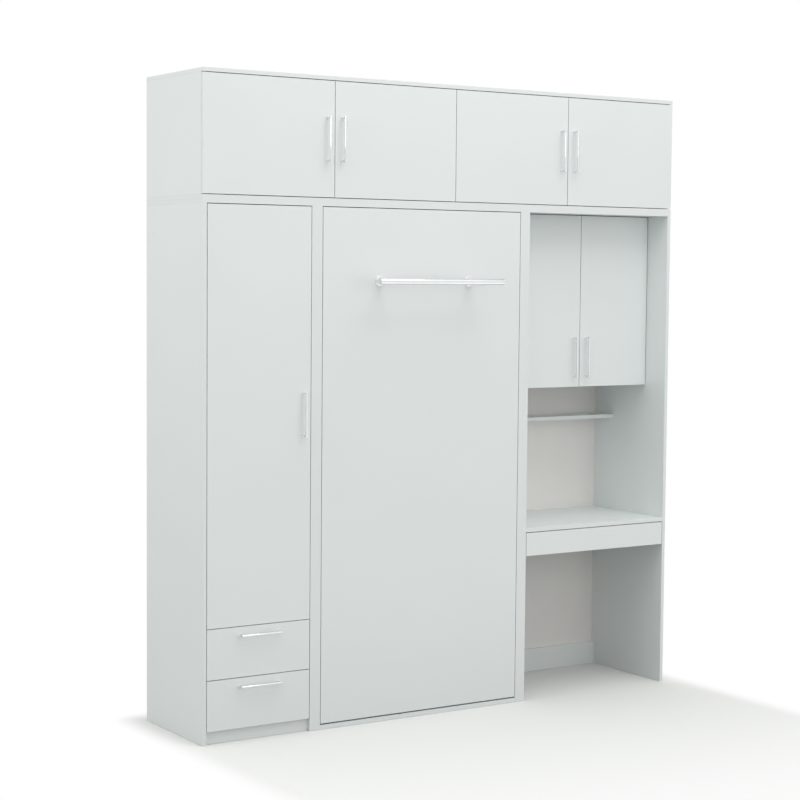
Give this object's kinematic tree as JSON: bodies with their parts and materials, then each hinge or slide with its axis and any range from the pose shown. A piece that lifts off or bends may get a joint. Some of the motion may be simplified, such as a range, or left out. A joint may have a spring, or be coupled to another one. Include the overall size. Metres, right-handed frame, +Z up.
{
  "type": "wall bed with cupboards and desk",
  "caption": "Fold-down single bed that closes upright into a wall unit, with a wardrobe over drawers, a desk niche with a recessed cupboard, and a row of top cupboards.",
  "frame": {"origin": "on the floor, in the wall plane, at the middle of the unit's width", "axes": "+X to the right along the fronts, +Y to the wall, +Z up; doors, drawers and bed closed"},
  "size_m": [2.316, 0.65, 2.6],
  "materials": {
    "board": "pale cool-white laminate, satin",
    "backing": "warm light-grey printed hardboard, matt",
    "bright_metal": "bright polished plating",
    "zinc_steel": "zinc-plated sheet steel",
    "grey_paint": "light-grey powder coat",
    "black_paint": "black paint",
    "slat_wood": "clear-lacquered birch plywood",
    "ticking": "off-white quilted knit",
    "webbing": "dark grey woven webbing"
  },
  "bodies": {
    "carcass": {"wardrobe_sides": "board", "wardrobe_boards": "board", "wardrobe_plinth": "board", "clothes_rail": "bright_metal", "bay_sides": "board", "bay_floor": "board", "rear_rails": "board", "desk_sides": "board", "desk_top": "board", "niche_boards": "board", "niche_back": "backing", "back_panels": "board", "main_top_board": "board", "top_floor_board": "board", "top_roof_board": "board", "top_uprights": "board", "hinge_arms": "zinc_steel", "runner_tracks": "zinc_steel", "lift_side_plates": "zinc_steel"},
    "top_door_1": {"top_door_1": "board", "top_door_1_handle": "bright_metal", "top_door_1_hinge_cups": "zinc_steel"},
    "top_door_2": {"top_door_2": "board", "top_door_2_handle": "bright_metal", "top_door_2_hinge_cups": "zinc_steel"},
    "top_door_3": {"top_door_3": "board", "top_door_3_handle": "bright_metal", "top_door_3_hinge_cups": "zinc_steel"},
    "top_door_4": {"top_door_4": "board", "top_door_4_handle": "bright_metal", "top_door_4_hinge_cups": "zinc_steel"},
    "wardrobe_door": {"wardrobe_door": "board", "wardrobe_door_handle": "bright_metal", "wardrobe_door_hinge_cups": "zinc_steel"},
    "recess_door_left": {"recess_door_left": "board", "recess_door_left_handle": "bright_metal", "recess_door_left_hinge_cups": "zinc_steel"},
    "recess_door_right": {"recess_door_right": "board", "recess_door_right_handle": "bright_metal", "recess_door_right_hinge_cups": "zinc_steel"},
    "lower_drawer": {"lower_drawer_front": "board", "lower_drawer_box": "board", "lower_drawer_slides": "zinc_steel", "lower_drawer_handle": "bright_metal"},
    "upper_drawer": {"upper_drawer_front": "board", "upper_drawer_box": "board", "upper_drawer_slides": "zinc_steel", "upper_drawer_handle": "bright_metal"},
    "desk_drawer": {"desk_drawer_front": "board", "desk_drawer_box": "board", "desk_drawer_slides": "zinc_steel"},
    "bed": {"bed_front": "board", "bed_frame": "grey_paint", "bed_slats": "slat_wood", "mattress": "ticking", "mattress_straps": "webbing", "bed_leg": "bright_metal", "bed_brackets": "zinc_steel"},
    "strut_cylinders": {"strut_cylinders": "black_paint"},
    "strut_rods": {"strut_rods": "bright_metal"}
  },
  "joints": [
    {"name": "top_door_1_hinge", "type": "hinge", "parent": "carcass", "child": "top_door_1", "pos_m": [-1.158, -0.5, 2.353], "axis": [0, 0, -1], "range_deg": [0, 105]},
    {"name": "top_door_2_hinge", "type": "hinge", "parent": "carcass", "child": "top_door_2", "pos_m": [-0.0015, -0.5, 2.353], "axis": [0, 0, 1], "range_deg": [0, 85]},
    {"name": "top_door_3_hinge", "type": "hinge", "parent": "carcass", "child": "top_door_3", "pos_m": [0.0015, -0.5, 2.353], "axis": [0, 0, -1], "range_deg": [0, 85]},
    {"name": "top_door_4_hinge", "type": "hinge", "parent": "carcass", "child": "top_door_4", "pos_m": [1.158, -0.5, 2.353], "axis": [0, 0, 1], "range_deg": [0, 105]},
    {"name": "wardrobe_door_hinge", "type": "hinge", "parent": "carcass", "child": "wardrobe_door", "pos_m": [-1.139, -0.5, 1.2705], "axis": [0, 0, -1], "range_deg": [0, 105]},
    {"name": "recess_door_left_hinge", "type": "hinge", "parent": "carcass", "child": "recess_door_left", "pos_m": [0.385, -0.366, 1.7115], "axis": [0, 0, -1], "range_deg": [0, 90]},
    {"name": "recess_door_right_hinge", "type": "hinge", "parent": "carcass", "child": "recess_door_right", "pos_m": [1.139, -0.366, 1.7115], "axis": [0, 0, 1], "range_deg": [0, 90]},
    {"name": "lower_drawer_runner", "type": "slide", "parent": "carcass", "child": "lower_drawer", "axis": [0, -1, 0], "range_m": [0, 0.35]},
    {"name": "upper_drawer_runner", "type": "slide", "parent": "carcass", "child": "upper_drawer", "axis": [0, -1, 0], "range_m": [0, 0.35]},
    {"name": "desk_drawer_runner", "type": "slide", "parent": "carcass", "child": "desk_drawer", "axis": [0, -1, 0], "range_m": [0, 0.32]},
    {"name": "bed_tilt", "type": "hinge", "parent": "carcass", "child": "bed", "pos_m": [-0.1495, -0.46, 0.19], "axis": [1, 0, 0], "range_deg": [0, 90]},
    {"name": "strut_swing", "type": "hinge", "parent": "carcass", "child": "strut_cylinders", "pos_m": [-0.1495, -0.35, 0.425], "axis": [1, 0, 0], "range_deg": [0, 20.4]},
    {"name": "strut_slide", "type": "slide", "parent": "strut_cylinders", "child": "strut_rods", "axis": [0, 0.2873, 0.9578], "range_m": [0, 0.1425]}
  ],
  "couplings": [
    {"joint": "strut_swing", "follows": "bed_tilt", "ratio": 0.22647},
    {"joint": "strut_slide", "follows": "bed_tilt", "m_per_rad": 0.090635}
  ]
}
